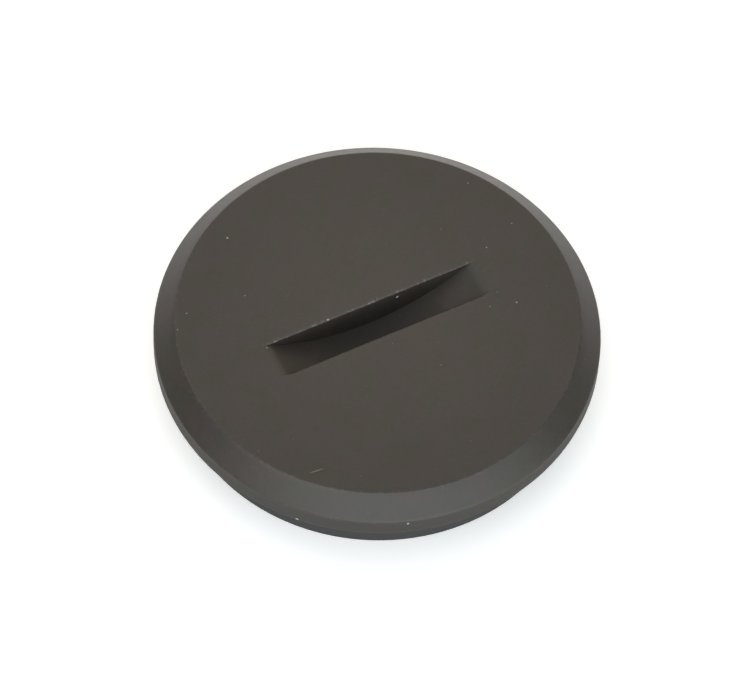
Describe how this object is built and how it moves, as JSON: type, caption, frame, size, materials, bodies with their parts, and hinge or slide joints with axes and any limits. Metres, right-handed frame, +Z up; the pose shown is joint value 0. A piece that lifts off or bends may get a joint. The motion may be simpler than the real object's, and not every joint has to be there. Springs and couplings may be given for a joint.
{
  "type": "desk grommet",
  "caption": "Round dark plastic desk grommet: a bevelled screw-in cap with a coin slot, in a threaded sleeve that lines the cable hole and hangs on a thin flange.",
  "frame": {"origin": "centre of the sleeve's lower end, on the grommet's axis", "axes": "+Z up along the axis, out of the desktop; the coin slot runs along X while the cap is screwed home"},
  "size_m": [0.065, 0.065, 0.013],
  "materials": {
    "cover_plastic": "satin dark brown-grey, turned and milled, with a fine grain",
    "insert_plastic": "moulded, fine matte texture",
    "screw_steel": "zinc plated",
    "gasket_rubber": "matte sheet rubber",
    "sleeve_plastic": "moulded, satin dark grey",
    "seat_foam": "closed-cell foam, open texture on its cut edge",
    "grip_rubber": "smooth matte rubber cord"
  },
  "bodies": {
    "sleeve": {"desk_sleeve": "sleeve_plastic", "foam_seat": "seat_foam", "grip_ring": "grip_rubber"},
    "gasket": {"cap_gasket": "gasket_rubber"},
    "cap": {"cover_disc": "cover_plastic", "threaded_insert": "insert_plastic", "insert_screw_1": "screw_steel", "insert_screw_2": "screw_steel", "insert_screw_3": "screw_steel", "insert_screw_4": "screw_steel"}
  },
  "joints": [
    {"name": "cap_rise", "type": "slide", "parent": "sleeve", "child": "gasket", "axis": [0, 0, 1], "range_m": [0, 0.00825]},
    {"name": "cap_turn", "type": "hinge", "parent": "gasket", "child": "cap", "pos_m": [0, 0, 0], "axis": [0, 0, 1], "range_deg": [0, 990]}
  ],
  "couplings": [
    {"joint": "cap_rise", "follows": "cap_turn", "m_per_rad": 0.00047746}
  ]
}
